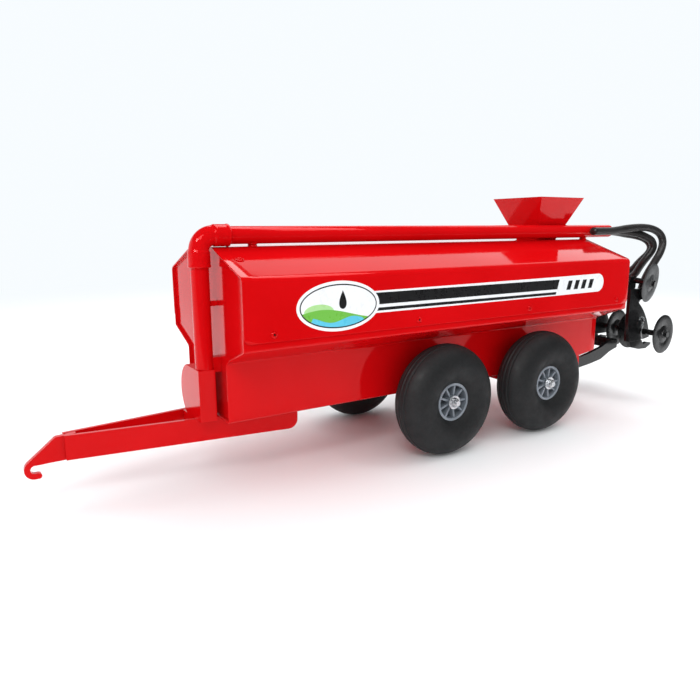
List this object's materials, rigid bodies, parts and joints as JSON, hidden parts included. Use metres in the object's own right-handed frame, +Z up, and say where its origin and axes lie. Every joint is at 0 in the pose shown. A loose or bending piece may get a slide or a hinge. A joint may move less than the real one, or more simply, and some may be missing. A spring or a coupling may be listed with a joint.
{
  "type": "toy liquid manure tanker wagon",
  "caption": "Toy liquid manure tanker: boxy tandem-axle tank with overhead pipe, funnel hopper, front hitch hook and a rear disc injector toolbar fed by hoses.",
  "frame": {"origin": "on the ground under the middle of the whole wagon's length and width", "axes": "+X to the rear along the tank, the hitch hook is at -X; +Y to the right side; +Z up"},
  "size_m": [0.697, 0.1836, 0.2345],
  "materials": {
    "red_paint": "gloss",
    "black_paint": "gloss",
    "black_disc": "satin",
    "grey_disc": "satin",
    "tyre_foam": "matte",
    "hub_plastic": "satin",
    "plated_steel": "bright zinc",
    "hose_rubber": "satin"
  },
  "bodies": {
    "wagon": {"upper_cover": "red_paint", "lower_shell": "red_paint", "front_plate": "red_paint", "rear_plate": "red_paint", "cover_rivets": "red_paint", "overhead_pipe": "red_paint", "pipe_elbow": "red_paint", "riser_pipe": "red_paint", "pipe_end_cap": "red_paint", "pipe_saddles": "red_paint", "riser_ties": "red_paint", "pump_housing": "red_paint", "hopper": "red_paint", "drawbar_left_rail": "red_paint", "drawbar_right_rail": "red_paint", "hook_plate": "red_paint", "front_axle_beam": "red_paint", "rear_axle_beam": "red_paint", "front_axle_rod": "plated_steel", "rear_axle_rod": "plated_steel", "axle_spacers": "plated_steel", "axle_washers": "plated_steel", "axle_nuts": "plated_steel", "lift_lugs": "red_paint", "lift_pins": "plated_steel", "hose_pads": "black_paint", "left_hose": "hose_rubber", "centre_hose": "hose_rubber", "right_hose": "hose_rubber"},
    "front_left_wheel": {"front_left_tyre": "tyre_foam", "front_left_hub": "hub_plastic"},
    "front_right_wheel": {"front_right_tyre": "tyre_foam", "front_right_hub": "hub_plastic"},
    "rear_left_wheel": {"rear_left_tyre": "tyre_foam", "rear_left_hub": "hub_plastic"},
    "rear_right_wheel": {"rear_right_tyre": "tyre_foam", "rear_right_hub": "hub_plastic"},
    "toolbar": {"left_lift_arm": "black_paint", "right_lift_arm": "black_paint", "lift_tie": "black_paint", "toolbar_mast": "black_paint", "toolbar_beam": "black_paint", "left_shank": "black_paint", "centre_shank": "black_paint", "right_shank": "black_paint", "shank_feet": "black_paint", "shank_bolts": "black_paint", "shank_springs": "plated_steel", "hose_sockets": "black_paint", "disc_axles": "black_paint", "upper_disc_arms": "black_paint"},
    "left_outer_disc": {"left_outer_disc": "black_disc"},
    "left_inner_disc": {"left_inner_disc": "black_disc"},
    "centre_left_disc": {"centre_left_disc": "black_disc"},
    "centre_right_disc": {"centre_right_disc": "black_disc"},
    "right_inner_disc": {"right_inner_disc": "black_disc"},
    "right_outer_disc": {"right_outer_disc": "black_disc"},
    "left_upper_disc": {"left_upper_disc": "grey_disc"},
    "right_upper_disc": {"right_upper_disc": "grey_disc"}
  },
  "joints": [
    {"name": "front_left_wheel_turn", "type": "hinge", "parent": "wagon", "child": "front_left_wheel", "pos_m": [-0.01277, -0.0728, 0.0508], "axis": [0, 1, 0], "continuous": true},
    {"name": "front_right_wheel_turn", "type": "hinge", "parent": "wagon", "child": "front_right_wheel", "pos_m": [-0.01277, 0.0728, 0.0508], "axis": [0, 1, 0], "continuous": true},
    {"name": "rear_left_wheel_turn", "type": "hinge", "parent": "wagon", "child": "rear_left_wheel", "pos_m": [0.11223, -0.0728, 0.0508], "axis": [0, 1, 0], "continuous": true},
    {"name": "rear_right_wheel_turn", "type": "hinge", "parent": "wagon", "child": "rear_right_wheel", "pos_m": [0.11223, 0.0728, 0.0508], "axis": [0, 1, 0], "continuous": true},
    {"name": "toolbar_lift", "type": "hinge", "parent": "wagon", "child": "toolbar", "pos_m": [0.20422, 0, 0.051], "axis": [0, 1, 0], "range_deg": [0, 15], "deforming": ["left_hose", "centre_hose", "right_hose"]},
    {"name": "left_outer_disc_turn", "type": "hinge", "parent": "toolbar", "child": "left_outer_disc", "pos_m": [0.31122, -0.08, 0.0805], "axis": [0.061, -0.9981, 0], "continuous": true},
    {"name": "left_inner_disc_turn", "type": "hinge", "parent": "toolbar", "child": "left_inner_disc", "pos_m": [0.31122, -0.04, 0.0805], "axis": [0.061, 0.9981, 0], "continuous": true},
    {"name": "centre_left_disc_turn", "type": "hinge", "parent": "toolbar", "child": "centre_left_disc", "pos_m": [0.31122, -0.02, 0.0805], "axis": [0.061, -0.9981, 0], "continuous": true},
    {"name": "centre_right_disc_turn", "type": "hinge", "parent": "toolbar", "child": "centre_right_disc", "pos_m": [0.31122, 0.02, 0.0805], "axis": [0.061, 0.9981, 0], "continuous": true},
    {"name": "right_inner_disc_turn", "type": "hinge", "parent": "toolbar", "child": "right_inner_disc", "pos_m": [0.31122, 0.04, 0.0805], "axis": [0.061, -0.9981, 0], "continuous": true},
    {"name": "right_outer_disc_turn", "type": "hinge", "parent": "toolbar", "child": "right_outer_disc", "pos_m": [0.31122, 0.08, 0.0805], "axis": [0.061, 0.9981, 0], "continuous": true},
    {"name": "left_upper_disc_turn", "type": "hinge", "parent": "toolbar", "child": "left_upper_disc", "pos_m": [0.30323, -0.064, 0.139], "axis": [0.206, -0.9693, -0.134], "continuous": true},
    {"name": "right_upper_disc_turn", "type": "hinge", "parent": "toolbar", "child": "right_upper_disc", "pos_m": [0.30323, 0.064, 0.139], "axis": [0.206, 0.9693, -0.134], "continuous": true}
  ]
}
